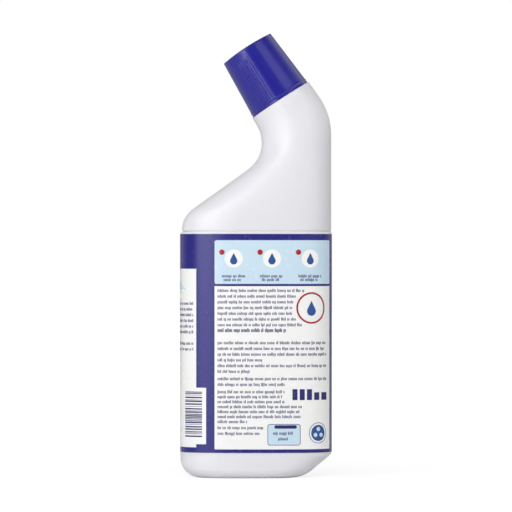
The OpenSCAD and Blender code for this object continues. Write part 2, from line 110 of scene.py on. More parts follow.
def grid_quads(rows, columns, around=True, flip=False):
    """Faces of a grid whose point (j, i) has index j*columns + i. Around joins the last column to the
    first."""
    j, i = np.meshgrid(np.arange(rows - 1), np.arange(columns - (not around)), indexing="ij")
    k = (i + 1) % columns
    quads = np.stack([j*columns + i, j*columns + k, (j + 1)*columns + k, (j + 1)*columns + i], -1)
    quads = quads.reshape(-1, 4)
    return quads[:, ::-1] if flip else quads


def skin(name, rings, first, last, flip=False):
    """A closed skin over rings (rows, columns, 3), fanned to the point first and the point last."""
    rows, columns = rings.shape[:2]
    i = np.arange(columns)
    k = (i + 1) % columns
    top = (rows - 1)*columns
    count = rows*columns
    fans = np.concatenate([np.stack([np.full(columns, count), k, i], -1),
                           np.stack([top + i, top + k, np.full(columns, count + 1)], -1)])
    points = np.concatenate([rings.reshape(-1, 3), [first], [last]])
    quads = grid_quads(rows, columns)
    return make_object(name, points, quads[:, ::-1] if flip else quads, fans[:, ::-1] if flip else fans)


def keep_edges_crisp(thing, degrees):
    """Shades the object smooth except across edges sharper than the angle."""
    with bpy.context.temp_override(object=thing, selected_editable_objects=[thing], active_object=thing):
        bpy.ops.object.shade_smooth_by_angle(angle=math.radians(degrees))

# %% [markdown]
# ## Shader expressions
# A material here is a Principled shader with a few nodes in front. Wrapping a socket in a small class lets
# the maths be written as Python: `1 - mask*0.2` adds its two Math nodes by itself. Numbers that don't vary
# over the surface go straight onto the shader's own sockets.

# %% Sockets as values
class Signal:
    """A socket that carries one number, with arithmetic that adds Math nodes."""

    def __init__(self, nodes, socket):
        self.nodes = nodes
        self.socket = socket

    def __add__(self, other): return self.nodes.math("ADD", self, other)
    def __radd__(self, other): return self.nodes.math("ADD", other, self)
    def __sub__(self, other): return self.nodes.math("SUBTRACT", self, other)
    def __rsub__(self, other): return self.nodes.math("SUBTRACT", other, self)
    def __mul__(self, other): return self.nodes.math("MULTIPLY", self, other)
    def __rmul__(self, other): return self.nodes.math("MULTIPLY", other, self)
    def __lt__(self, other): return self.nodes.math("LESS_THAN", self, other)
    def size(self): return self.nodes.math("ABSOLUTE", self)


class Nodes:
    """The node tree of a material or of the world, with one shader that the values feed."""

    def __init__(self, tree, shader):
        self.tree = tree
        self.shader = tree.nodes[shader]

    def node(self, kind, settings=None, inputs=None):
        """Adds a node, sets it up and links its inputs. Gives its outputs by name."""
        node = self.tree.nodes.new(kind)
        for key, value in (settings or {}).items():
            setattr(node, key, value)
        for key, value in (inputs or {}).items():
            if isinstance(value, Signal):
                self.tree.links.new(value.socket, node.inputs[key])
            else:
                node.inputs[key].default_value = value
        return {out.name: Signal(self, out) for out in node.outputs if out.enabled}

    def math(self, operation, *values):
        return self.node("ShaderNodeMath", {"operation": operation}, dict(enumerate(values)))["Value"]

    def feed(self, socket, value):
        self.tree.links.new(value.socket, self.shader.inputs[socket])


class Finish(Nodes):
    """A material with one Principled shader. Its place is the point on the mesh, in metres."""

    def __init__(self, name, color, roughness, **fixed):
        self.material = bpy.data.materials.new(name)
        self.material.use_nodes = True
        super().__init__(self.material.node_tree, "Principled BSDF")
        self.color = color
        self.shader.inputs["Base Color"].default_value = (*color, 1)
        self.shader.inputs["Roughness"].default_value = roughness
        for socket, value in fixed.items():
            self.shader.inputs[socket.replace("_", " ")].default_value = value
        self.place = self.node("ShaderNodeTexCoord")["Object"]

    def noise(self, size, detail=2.0):
        """Smooth noise from 0 to 1 with lumps of about this size in metres."""
        inputs = {"Vector": self.place, "Scale": 1/size, "Detail": detail}
        return self.node("ShaderNodeTexNoise", None, inputs)["Fac"]

    def tint(self, mask, other):
        """Mixes the base colour towards another where the mask is 1."""
        inputs = {0: mask, 6: (*self.color, 1), 7: (*other, 1)}
        mix = self.node("ShaderNodeMix", {"data_type": "RGBA"}, inputs)
        self.feed("Base Color", mix["Result"])

    def bump(self, height, distance):
        """Raises the surface by the height signal times the distance in metres."""
        out = self.node("ShaderNodeBump", None, {"Height": height, "Distance": distance, "Strength": 1.0})
        self.feed("Normal", out["Normal"])


def srgb(red, green, blue):
    """A colour read off the photograph, from 0 to 255, as the linear values a shader wants."""
    share = np.array([red, green, blue])/255
    return tuple(np.where(share <= 0.04045, share/12.92, ((share + 0.055)/1.055)**2.4))

# %% [markdown]
# ## The outline
# Seen from the side, the bottle is two lines that run down from the neck's ledge: the spout's side with its
# hollow, slope and shoulder, and the back with one long bend. Each is a list of straight stretches and arcs,
# the same as in the solid. The inner face of the wall is the same list with every radius changed by the wall.

# %% Outline values
bottle_low, bottle_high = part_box("bottle")
half_w = (bottle_high.x - bottle_low.x)/2
half_d = (bottle_high.y - bottle_low.y)/2
neck_foot = np.array(joints["cap_turn"]["pos_m"])
neck_dir = np.array(joints["cap_turn"]["axis"])
neck_dir /= np.linalg.norm(neck_dir)
neck_tilt = math.degrees(math.atan2(-neck_dir[0], neck_dir[2]))
neck_across = np.array([neck_dir[2], 0, -neck_dir[0]])

BODY_POWER = 3.2
WALL = 1.1*MM
LEDGE_R = 20.1*MM
LEDGE_EDGE = 0.5*MM
NECK_STRAIGHT = 4*MM
THROAT_UPPER_R = 21*MM
THROAT_LOWER_R = 19*MM
EASE_R = 60*MM
EASE_TURN = 5
SLOPE_ANGLE = 35.5
SHOULDER_R = 19*MM
BACK_LEAN = 35
BACK_R = 41*MM
TOE_R = 11.5*MM
HEEL_R = 6*MM
CHAMFER_ANGLE = 39.7
CHAMFER_H = 13.9*MM
CHAMFER_TOP_R = 3.5*MM
CHAMFER_FOOT_R = 19*MM
PUSH_UP = 1.6*MM
FOOT_RIM = 4*MM

# %% Walking an outline
def arc(start, heading, radius, turn, count):
    """Points along an arc: start + r*(sin(h+t) - sin(h), cos(h) - cos(h+t)), to the left if r and t are
    positive and to the right if both are negative. Angles in degrees."""
    h = math.radians(heading)
    t = np.radians(np.linspace(0, turn, count))
    return start + radius*np.stack([np.sin(h + t) - math.sin(h), math.cos(h) - np.cos(h + t)], -1)


def walk(start, heading, steps, inset=0.0):
    """Points along straight stretches (0, length) and arcs (radius, turn), moved to the left by inset."""
    left = np.radians(heading + 90)
    here = np.asarray(start) + inset*np.array([np.cos(left), np.sin(left)])
    stretches = [here[None]]
    for radius, amount in steps:
        if radius == 0:
            h = math.radians(heading)
            stretch = here + amount*np.array([[math.cos(h), math.sin(h)]])
        else:
            stretch = arc(here, heading, radius - inset, amount, max(2, int(abs(amount))))[1:]
            heading += amount
        stretches.append(stretch)
        here = stretch[-1]
    return np.concatenate(stretches)


def spaced(path, shares):
    """Points of a path at shares of its length."""
    run = np.concatenate([[0], np.cumsum(np.linalg.norm(np.diff(path, axis=0), axis=1))])
    at = np.asarray(shares)*run[-1]
    return np.stack([np.interp(at, run, path[:, 0]), np.interp(at, run, path[:, 1])], -1)


def ease(share, start, end):
    """Goes from 0 to 1 between two shares with no kink: 3t^2 - 2t^3."""
    t = np.clip((share - start)/(end - start), 0, 1)
    return t*t*(3 - 2*t)

# %% [markdown]
# The slope has no length of its own: it is as long as it takes to reach the body's side. The same goes for
# the straight stretch at the neck's back.

# %% The two outlines
side_foot = neck_foot[[0, 2]]
side_dir = neck_dir[[0, 2]]
side_across = neck_across[[0, 2]]

hollow = [(0, NECK_STRAIGHT), (-THROAT_UPPER_R, -neck_tilt),
          (-THROAT_LOWER_R, SLOPE_ANGLE + EASE_TURN - 90), (-EASE_R, -EASE_TURN)]
hollow_end = walk(side_foot - LEDGE_R*side_across, 270 + neck_tilt, hollow)[-1]
shoulder_turn = 90 - SLOPE_ANGLE
shoulder_run = SHOULDER_R*(1 - math.cos(math.radians(shoulder_turn)))
slope_len = (hollow_end[0] + half_w - shoulder_run)/math.cos(math.radians(SLOPE_ANGLE))
front_steps = hollow + [(0, slope_len), (SHOULDER_R, shoulder_turn)]
shoulder_z = walk(side_foot - LEDGE_R*side_across, 270 + neck_tilt, front_steps)[-1, 1]

back_lean = math.radians(BACK_LEAN)
back_start = side_foot + LEDGE_R*side_across
back_len = (half_w - back_start[0] - BACK_R*(1 - math.cos(back_lean)))/math.sin(back_lean)
back_steps = [(0, back_len), (-BACK_R, -BACK_LEAN)]
bend_z = walk(back_start, 270 + BACK_LEAN, back_steps)[-1, 1]
back_steps.append((0, bend_z - shoulder_z))


def front_outline(inset):
    """The spout's side, from the ledge down to the shoulder's foot."""
    return walk(side_foot - LEDGE_R*side_across - inset*side_dir, 270 + neck_tilt, front_steps, inset)


def back_outline(inset):
    """The back, from the ledge down to the same height."""
    return walk(back_start - inset*side_dir, 270 + BACK_LEAN, back_steps, -inset)


print("shoulder starts at", round(shoulder_z/MM, 1), "mm, slope is", round(slope_len/MM, 1), "mm long")

# %% [markdown]
# The foot is walked upwards from the base: a round toe under the spout and a slanted cut at the back.

# %% The foot
chamfer = math.radians(CHAMFER_ANGLE)
cut_foot = CHAMFER_FOOT_R*math.tan(chamfer/2)
cut_top = CHAMFER_TOP_R*math.tan((math.pi/2 - chamfer)/2)
cut_len = CHAMFER_H/math.sin(chamfer) - cut_foot - cut_top
base_back_x = half_w - CHAMFER_H/math.tan(chamfer) - cut_foot
base_front_x = TOE_R - half_w


def toe_outline(inset):
    """From the base's front end up the front edge, as far as the shoulder."""
    return walk([base_front_x, 0], 180, [(-TOE_R, -90), (0, shoulder_z - TOE_R)], -inset)


def heel_outline(inset):
    """From the base's back end up the slanted cut and the back edge."""
    return walk([base_back_x, 0], 0, [
        (CHAMFER_FOOT_R, CHAMFER_ANGLE), (0, cut_len), (CHAMFER_TOP_R, 90 - CHAMFER_ANGLE),
        (0, shoulder_z - CHAMFER_H - cut_top)], inset)


def x_at(path, z):
    return np.interp(z, path[:, 1], path[:, 0])


def share_at(path, z):
    """The share of an outline's length at which it has come down to a height."""
    run = np.concatenate([[0], np.cumsum(np.linalg.norm(np.diff(path, axis=0), axis=1))])
    return np.interp(-z, -path[:, 1], run/run[-1])


def depth_at(z, inset):
    """Half the depth at a height: full above the heel, and a quarter circle below it."""
    low = np.clip(HEEL_R - z, 0, HEEL_R - inset)
    return half_d - HEEL_R + np.sqrt((HEEL_R - inset)**2 - low**2)

# %% [markdown]
# ## The bottle
# A section of the body is a superellipse, between an ellipse and a box. Written with the plain angle t as
# (a cos t, b sin t) / (|cos t|^n + |sin t|^n)^(1/n) its points are evenly spread, so the light slides over it
# without ripples. Rings of that section fan from level at the body to 33 degrees at the neck, while the
# exponent goes from 3.2 to 2, a circle. Just above the label the rings stand in a little: a rounded edge, a
# fine groove that shows as a grey line, and a shallow waist up to the shoulder.

# %% Sections and rings
AROUND = 192


def section_rings(front, back, depth, power):
    """Rings through pairs of outline points (rows, 2), with half depths and exponents (rows)."""
    t = np.linspace(0, 2*math.pi, AROUND, endpoint=False)
    depth, power = (np.broadcast_to(v, len(front))[:, None] for v in (depth, power))
    shape = (np.abs(np.cos(t))**power + np.abs(np.sin(t))**power)**(-1/power)
    middle, half = (front + back)/2, (back - front)/2
    across = np.cos(t)*shape
    return np.stack([middle[:, :1] + half[:, :1]*across, depth*np.sin(t)*shape,
                     middle[:, 1:] + half[:, 1:]*across], -1)


def neck_rings(radii, heights, angles=None):
    """Circles about the neck's axis: radius and height above the ledge for each row."""
    t = np.linspace(0, 2*math.pi, AROUND, endpoint=False) if angles is None else angles
    radii = np.asarray(radii, float)
    radii = radii[:, None] if radii.ndim == 1 else radii
    heights = np.asarray(heights, float)[:, None, None]
    spoke = np.cos(t)[:, None]*neck_across + np.sin(t)[:, None]*np.array([0, 1, 0])
    return neck_foot + radii[..., None]*spoke + heights*neck_dir


def rounded(corner, start, end, radius, count=5):
    """Points round a corner of a turned profile, from the side of start to the side of end."""
    corner, start, end = (np.asarray(p, float) for p in (corner, start, end))
    a = corner + radius*(start - corner)/np.linalg.norm(start - corner)
    b = corner + radius*(end - corner)/np.linalg.norm(end - corner)
    t = np.linspace(0, 1, count)[:, None]
    return (1 - t)**2*a + 2*t*(1 - t)*corner + t**2*b


def smooth_profile(points, radii):
    """A turned profile through corner points (radius, height), each rounded by its own radius."""
    points = [np.asarray(p, float) for p in points]
    rows = [points[0][None]]
    for before, corner, after, radius in zip(points, points[1:], points[2:], radii):
        rows.append(rounded(corner, before, after, radius) if radius else corner[None])
    rows.append(points[-1][None])
    return np.concatenate(rows)

# %% Bottle skin
LOW_ROWS = 26
UPPER_ROWS = 110
INNER_ROWS = 48
FINISH_R = 12.2*MM
BORE_R = 10.4*MM
FINISH_H = 20*MM
WAIST = 0.25*MM
FRONT_WAIST = 0.35*MM
RIM_Z = np.array([0.3, 0.9, 1.1, 1.3, 1.55, 1.8, 2.0, 2.3, 3.0])*MM
RIM_IN = np.array([0, 0.02, 0.15, 0.5, 0.75, 0.7, 0.4, 0.27, 0.25])*MM
RIM_CLEAR = 1*MM
PUSH_ROWS = 7
PUSH_REACH = 9*MM
label_low, label_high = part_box("label_film")
LABEL_BOTTOM, LABEL_TOP = label_low.z, label_high.z


def low_rings(inset, rows):
    """Rings from the base to just above the slanted cut, closer together near the base."""
    z = inset + (1.15*CHAMFER_H - inset)*np.linspace(0, 1, rows)**1.6
    toe, heel = toe_outline(inset), heel_outline(inset)
    front, back = np.stack([x_at(toe, z), z], -1), np.stack([x_at(heel, z), z], -1)
    return section_rings(front, back, depth_at(z, inset), BODY_POWER)


def drawn_in(front, back, depth, power, amount, front_amount):
    """Rings that stand in from the outline by one amount, and by another on the spout's side."""
    level = np.array([1, 0])
    return section_rings(front + np.outer(front_amount, level), back - np.outer(amount, level),
                         depth - amount, power)


def upper_rings(inset, rows, foot=None, waist=0.0, front_waist=0.0):
    """Rings from the shoulder's foot, or from a height, up to just under the ledge. The waist fades out
    towards the neck, and its share on the spout's side above the shoulder."""
    front, back = front_outline(inset), back_outline(inset)
    start = [1, 1] if foot is None else [share_at(front, foot), share_at(back, foot)]
    front_share, back_share = np.linspace(start, [0.012, 0.012], rows).T
    depth = LEDGE_R + (half_d - LEDGE_R)*ease(front_share, 0.05, 0.9) - inset
    power = 2 + (BODY_POWER - 2)*ease(front_share, 0.2, 1)
    amount = waist*ease(front_share, 0.1, 0.5)
    return drawn_in(spaced(front, front_share), spaced(back, back_share), depth, power,
                    amount, amount + front_waist*ease(front_share, 0.9, 0.96))


def rim_rings():
    """Level rings over the upper rim of the label panel: a rounded edge, a fine groove and the waist."""
    z = LABEL_TOP + RIM_Z
    front, back = front_outline(0)[::-1], back_outline(0)[::-1]
    return drawn_in(np.stack([x_at(front, z), z], -1), np.stack([x_at(back, z), z], -1),
                    half_d, BODY_POWER, RIM_IN, RIM_IN*(1 + FRONT_WAIST/WAIST))


def base_rings(insets, heights):
    """Rings of the base, drawn in from its rim."""
    insets, heights = np.asarray(insets), np.asarray(heights)
    return section_rings(np.stack([base_front_x + insets, heights], -1),
                         np.stack([base_back_x - insets, heights], -1), half_d - HEEL_R - insets, BODY_POWER)


push = np.linspace(0, 1, PUSH_ROWS)
push_in, push_z = FOOT_RIM + push[::-1]*PUSH_REACH, PUSH_UP*ease(push[::-1], 0, 1)
finish_profile = smooth_profile(
    [(LEDGE_R, -LEDGE_EDGE), (LEDGE_R, 0), (FINISH_R, 0), (FINISH_R, FINISH_H), (BORE_R, FINISH_H),
     (BORE_R, -WALL), (LEDGE_R - WALL - LEDGE_EDGE, -WALL)],
    [LEDGE_EDGE, 0.6*MM, 0.4*MM, 0.3*MM, 0])
waist_z = LABEL_TOP + RIM_Z[-1] + RIM_CLEAR
outside = np.concatenate([base_rings(push_in, push_z), low_rings(0, LOW_ROWS), rim_rings(),
                          upper_rings(0, UPPER_ROWS, waist_z, WAIST, FRONT_WAIST)])
inside = np.concatenate([upper_rings(WALL, INNER_ROWS)[::-1], low_rings(WALL, LOW_ROWS//2)[::-1],
                         base_rings(push_in[::-1], push_z[::-1] + WALL)])
bottle_rings = np.concatenate([outside, neck_rings(finish_profile[:, 0], finish_profile[:, 1]), inside])
base_middle = (base_front_x + base_back_x)/2
bottle = skin("bottle_shell", bottle_rings, (base_middle, 0, PUSH_UP), (base_middle, 0, PUSH_UP + WALL))
keep_edges_crisp(bottle, 50)
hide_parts("bottle")
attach(bottle, "bottle_body")
print("bottle:", len(bottle.data.polygons), "faces")

# %% [markdown]
# ## Thread and lugs
# A screw thread is a small trapezium carried along a helix: the angle runs on while the height rises by one
# pitch a turn. Its two ends fade into the wall, as a moulded thread's do. The cap has the same thread on the
# inside of its skirt, half a pitch lower, so that the two hook under each other.

# %% Helical thread
PITCH = 4.2*MM
THREAD_TURNS = 1.5
THREAD_Z = 8*MM


def thread(name, root_r, crest_r, z0, root_w, crest_w):
    """A trapezium on a helix: z = z0 + pitch*angle/360, with a height that fades at both ends."""
    angle = np.linspace(0, THREAD_TURNS*2*math.pi, int(THREAD_TURNS*72) + 1)
    fade = np.minimum(1, np.minimum(angle, angle[-1] - angle)/math.radians(25))[:, None]
    sunk = root_r - 0.2*MM*np.sign(crest_r - root_r)
    crest = root_r + (crest_r - root_r)*(0.15 + 0.85*fade)
    radius = np.concatenate([np.full_like(fade, sunk), crest, crest, np.full_like(fade, sunk)], 1)
    offset = np.array([-root_w, -crest_w, crest_w, root_w])/2
    height = z0 + (PITCH*angle/(2*math.pi))[:, None] + offset
    spoke = np.cos(angle)[:, None]*neck_across + np.sin(angle)[:, None]*np.array([0, 1, 0])
    points = neck_foot + radius[..., None]*spoke[:, None] + height[..., None]*neck_dir
    rows = len(angle)
    inward = crest_r < root_r
    quads = grid_quads(rows, 4, flip=not inward)
    last = 4*(rows - 1)
    ends = np.array([[0, 1, 2, 3], [last + 3, last + 2, last + 1, last]])
    quads = np.concatenate([quads, ends if inward else ends[:, ::-1]])
    return make_object(name, points.reshape(-1, 3), quads, smooth=False)


neck_thread = thread("neck_thread", FINISH_R, FINISH_R + 0.9*MM, THREAD_Z, 2.0*MM, 0.9*MM)
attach(neck_thread, "bottle_body")

# %% Locking lugs on the ledge
LUG_H = 2.8*MM
LUG_REACH = 4.2*MM
LUG_SWEEP = 26
LUG_ROWS = 13


def lug(middle):
    """A wedge on the ledge: a trapezium turned through a short angle about the neck."""
    angle = np.radians(np.linspace(middle - LUG_SWEEP/2, middle + LUG_SWEEP/2, LUG_ROWS))
    profile = np.array([(FINISH_R - 0.1*MM, 0), (FINISH_R + LUG_REACH, 0),
                        (FINISH_R + LUG_REACH, 0.4*LUG_H), (FINISH_R - 0.1*MM, LUG_H)])
    points = neck_rings(profile[:, 0], profile[:, 1], angle).transpose(1, 0, 2)
    last = 4*(LUG_ROWS - 1)
    ends = np.array([[0, 1, 2, 3], [last + 3, last + 2, last + 1, last]])
    return points.reshape(-1, 3), np.concatenate([grid_quads(LUG_ROWS, 4, flip=True), ends])


first_lug, second_lug = lug(0), lug(180)
lugs = make_object("neck_lugs", np.concatenate([first_lug[0], second_lug[0]]),
                   np.concatenate([first_lug[1], second_lug[1] + len(first_lug[0])]), smooth=False)
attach(lugs, "bottle_body")

# %% [markdown]
# ## The cap
# The cap is turned too, but its squeeze patches aren't: there the radius swells at every rib. So the columns
# are packed closely where the ribs are and spread out elsewhere, and one function of angle and height adds
# the ribs to the turned profile. The band at the cap's mouth starts with a bead and has a shallow hollow
# under it.

# %% Cap profile
SEAT_GAP = 0.3*MM
LIP_Z = 0.12*MM
CAP_R = 19.5*MM
BAND_H = 2.4*MM
BAND_STEP = 0.3*MM
BEAD_H = 0.4*MM
BEAD_OUT = 0.25*MM
CAP_TOP_R = 16.7*MM
CAP_H = 36.5*MM
DOME_H = 1.1*MM
CAP_WALL = 1.3*MM
CAP_TOP_T = 1.7*MM
SKIRT_R = 13.4*MM
SKIRT_T = 1.2*MM
RIB_COUNT = 6
RIB_PITCH = 5
RIB_TURN = -23
RIB_W = 1.0*MM
RIB_OUT = 0.32*MM
RIB_END = 2.4*MM
RIB_FADE = 9*MM
DOME_ROWS = 14
SIDE_ROWS = 48
EDGE_ROWS = 8
EDGE_R = 0.4*MM
SKIRT_FOOT = 0.6*MM

edge_z = SEAT_GAP + CAP_H
band_z = SEAT_GAP + BAND_H
ceiling_z = edge_z - CAP_TOP_T + DOME_H
side_r = CAP_R - BAND_STEP
inner_top_r = CAP_TOP_R - CAP_WALL
dome_r = np.linspace(0.04, 0.97, DOME_ROWS)*CAP_TOP_R
dome = np.stack([dome_r, edge_z + DOME_H*(1 - (dome_r/CAP_TOP_R)**2)], -1)
side_z = np.linspace(edge_z - 1.2*MM, band_z + 0.5*MM, SIDE_ROWS)
side = np.stack([CAP_TOP_R + (side_r - CAP_TOP_R)*(edge_z - side_z)/(CAP_H - BAND_H), side_z], -1)
corner_radii = np.array([0.12, 0.15, 0.15, 0.2, 0.25, 0.25, 0, 0.3, 0.3, 0.3, 0.3, 0.3])*MM
cap_profile = np.concatenate([
    dome[:-1], rounded((CAP_TOP_R, edge_z), dome[-2], side[0], EDGE_R, EDGE_ROWS), side,
    smooth_profile([(side_r, band_z + 0.3*MM), (side_r, band_z), (CAP_R, band_z), (CAP_R, band_z - BEAD_H),
                    (CAP_R - BEAD_OUT, band_z - BEAD_H - 3*BEAD_OUT), (CAP_R, LIP_Z),
                    (CAP_R - CAP_WALL, LIP_Z), (CAP_R - CAP_WALL, band_z), (inner_top_r, ceiling_z),
                    (SKIRT_R + SKIRT_T, ceiling_z), (SKIRT_R + SKIRT_T, LUG_H + SKIRT_FOOT),
                    (SKIRT_R, LUG_H + SKIRT_FOOT), (SKIRT_R, ceiling_z), (0.3*MM, ceiling_z)],
                   corner_radii)])

# %% Cap mesh with its ribs
def angle_apart(angles, others):
    """How far each angle is from the nearest of the others, the short way round."""
    return np.abs((angles[:, None] - others + math.pi) % (2*math.pi) - math.pi).min(axis=1)


rib_middle = np.radians(np.array([RIB_TURN - 90, RIB_TURN + 90]) % 360)
rib_turns = (rib_middle[:, None] + np.radians(RIB_PITCH)*(np.arange(RIB_COUNT) - (RIB_COUNT - 1)/2)).ravel()
patch_half = math.radians(RIB_PITCH*(RIB_COUNT + 1)/2)
fine = np.concatenate([np.arange(m - patch_half, m + patch_half, math.radians(0.25)) for m in rib_middle])
coarse = np.radians(np.arange(0, 360, 2.0))
coarse = coarse[angle_apart(coarse, rib_middle) > patch_half]
cap_turns = np.sort(np.concatenate([fine % (2*math.pi), coarse]))


def rib_height(angle, z, radius):
    """Round-topped ribs: 1 - (distance/half width)^2 across, fading at both ends of the side."""
    across = np.clip(1 - (angle_apart(angle, rib_turns)*CAP_R/(RIB_W/2))**2, 0, 1)
    foot = ease(z, band_z + 0.3*MM, band_z + 0.9*MM)
    fade = 1 - ease(z, edge_z - RIB_END - RIB_FADE, edge_z - RIB_END)
    return RIB_OUT*across*np.where(radius > side_r - 4*MM, foot*fade, 0)[:, None]


row = np.arange(len(cap_profile))
on_side = (row >= DOME_ROWS) & (row < DOME_ROWS + EDGE_ROWS + SIDE_ROWS)
cap_radii = cap_profile[:, :1] + rib_height(cap_turns, cap_profile[:, 1], cap_profile[:, 0])*on_side[:, None]
cap = skin("cap_shell", neck_rings(cap_radii, cap_profile[:, 1], cap_turns),
           neck_foot + neck_dir*(edge_z + DOME_H), neck_foot + neck_dir*ceiling_z, flip=True)
keep_edges_crisp(cap, 50)
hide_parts("cap")
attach(cap, "cap_body")

cap_thread = thread("cap_thread", SKIRT_R, SKIRT_R - 0.8*MM, THREAD_Z - PITCH/2, 2.0*MM, 0.9*MM)
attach(cap_thread, "cap_body")
print("cap:", len(cap.data.polygons), "faces")

# %% [markdown]
# ## The label
# The label is a film wrapped round the straight part of the body. Its print is laid out on a flat sheet, with
# s measured along the film from the front edge under the spout and z the height, and one function wraps
# points (s, z, height above the bottle) onto the body. On the small-print side s counts up and on the front
# it counts down. Each field of ink is a thin plate, so its edges stay sharp at any distance.

# %% Wrapping the sheet round the body
FILM_T = 0.15*MM
FILM_GAP = 0.02*MM
INK = 0.03*MM

wrap_t = np.linspace(-math.pi, math.pi, 8001)
wrap_shape = (np.abs(np.cos(wrap_t))**BODY_POWER + np.abs(np.sin(wrap_t))**BODY_POWER)**(-1/BODY_POWER)
# The curve starts at the front edge (-X) and runs over the small-print side (-Y)
wrap_xy = np.stack([-half_w*np.cos(wrap_t)*wrap_shape, -half_d*np.sin(wrap_t)*wrap_shape], -1)
wrap_run = np.concatenate([[0], np.cumsum(np.linalg.norm(np.diff(wrap_xy, axis=0), axis=1))])
wrap_run -= wrap_run[len(wrap_run)//2]
wrap_tangent = np.gradient(wrap_xy, wrap_run, axis=0)
half_round = wrap_run[-1]


def wrap(s, z, lift):
    """The point of the body at s along the film and z up, moved out by lift along its normal."""
    s = np.asarray(s, float)
    x, y = (np.interp(s, wrap_run, wrap_xy[:, k]) for k in (0, 1))
    tx, ty = (np.interp(s, wrap_run, wrap_tangent[:, k]) for k in (0, 1))
    size = np.hypot(tx, ty)
    return np.stack([x - lift*-ty/size, y - lift*tx/size, np.broadcast_to(z, s.shape)], -1)


near = wrap_run >= 0


def along(x):
    """Distance along the film, on the small-print side, of a distance x across the face."""
    return np.interp(x, wrap_xy[near, 0], wrap_run[near])


print("label: once round is", round(2*half_round/MM, 1), "mm")

# %% [markdown]
# A plate is a grid of sheet points with a top, a bottom and an edge all round. Like plates are made in one
# go: an array (plates, rows, columns, 2) holds all of them.

# %% Plates of ink
class Ink:
    """Collects plates of one colour and makes one mesh of them."""

    def __init__(self, name, slot_name, level=0):
        self.name = name
        self.slot_name = slot_name
        self.level = level
        self.points, self.quads, self.count = [], [], 0

    def add(self, sheet, level=None, closed=False):
        """Adds plates (plates, rows, columns, 2) on top of this many layers of ink."""
        level = self.level if level is None else level
        sheet = sheet[None] if sheet.ndim == 3 else sheet
        plates, rows, columns = sheet.shape[:3]
        base = FILM_GAP + FILM_T + level*INK
        s, z = sheet[..., 0], sheet[..., 1]
        top, bottom = wrap(s, z, base + INK), wrap(s, z, base)
        size = rows*columns
        faces = [grid_quads(rows, columns, closed), grid_quads(rows, columns, closed, flip=True) + size]
        index = np.arange(size).reshape(rows, columns)
        edges = [index[0], index[-1, ::-1]]
        if not closed:
            edges += [index[::-1, 0], index[:, -1]]
        for edge in edges:
            a, b = (edge, np.roll(edge, -1)) if closed else (edge[:-1], edge[1:])
            faces.append(np.stack([b, a, a + size, b + size], -1))
        faces = np.concatenate(faces)
        offset = self.count + 2*size*np.arange(plates)
        self.points.append(np.stack([top, bottom], 1).reshape(-1, 3))
        self.quads.append((faces[None] + offset[:, None, None]).reshape(-1, 4))
        self.count += 2*size*plates

    def finish(self, *nodes):
        plates = make_object(self.name, np.concatenate(self.points), np.concatenate(self.quads), smooth=False)
        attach(plates, "bottle_body")
        if nodes:
            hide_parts(*nodes)
        print(self.name + ":", len(plates.data.polygons), "faces")
        return plates


SHEET_STEP = 1.2*MM


def columns_between(s0, s1):
    return np.linspace(s0, s1, max(2, int(abs(s1 - s0)/SHEET_STEP) + 1))


def field(s0, s1, z0, z1, corner=0.0):
    """A rectangle on the sheet. With a corner radius, its ends are rounded column by column."""
    s = columns_between(s0, s1)
    if corner:
        turn = np.linspace(0, math.pi/2, 7)
        bend = corner*(1 - np.cos(turn))
        s = np.concatenate([s0 + bend, s[(s > s0 + corner) & (s < s1 - corner)], s1 - bend[::-1]])
    cut = np.clip(corner - np.minimum(s - s0, s1 - s), 0, corner)
    drop = corner - np.sqrt(corner**2 - cut**2) if corner else 0*s
    return np.stack([np.stack([s, z0 + drop], -1), np.stack([s, z1 - drop], -1)])


def circle(s, z, radius, hole=0.0, columns=64):
    """A ring on the sheet, or a disc if there is no hole, in rings close enough to bend with the body."""
    turn = np.linspace(0, 2*math.pi, columns, endpoint=False)
    rings = 2 if hole else max(6, int(radius/SHEET_STEP))
    radii = np.linspace(radius, max(hole, 0.02*radius), rings)[:, None]
    return np.stack([s + radii*np.cos(turn), z + radii*np.sin(turn)], -1)


DROP_TIP = 2.2


def drop_shape(s, z, radius):
    """A drop with its point up: a circle's lower part and two straight sides that meet at the tip."""
    touch = math.acos(1/DROP_TIP)
    turn = np.linspace(math.pi/2 + touch, 2.5*math.pi - touch, 49)
    rim = np.stack([s + radius*np.cos(turn), z + radius*np.sin(turn)], -1)
    side_share = np.linspace(0, 1, 9)[1:-1, None]
    tip = np.array([s, z + DROP_TIP*radius])
    rim = np.concatenate([rim, rim[-1] + side_share*(tip - rim[-1]), [tip], tip + side_share*(rim[0] - tip)])
    middle = np.array([s, z])
    share = np.linspace(1, 0.02, 5)[:, None, None]
    return middle + share*(rim - middle)


def bars(s0, s1, z0, z1, columns=2):
    """Many rectangles at once, from arrays of their edges. A wide one needs columns to bend with the body."""
    s0, s1, z0, z1 = (v[:, None] for v in np.broadcast_arrays(s0, s1, z0, z1))
    s = s0 + (s1 - s0)*np.linspace(0, 1, columns)
    return np.stack([np.stack([s, z + 0*s], -1) for z in (z0, z1)], 1)

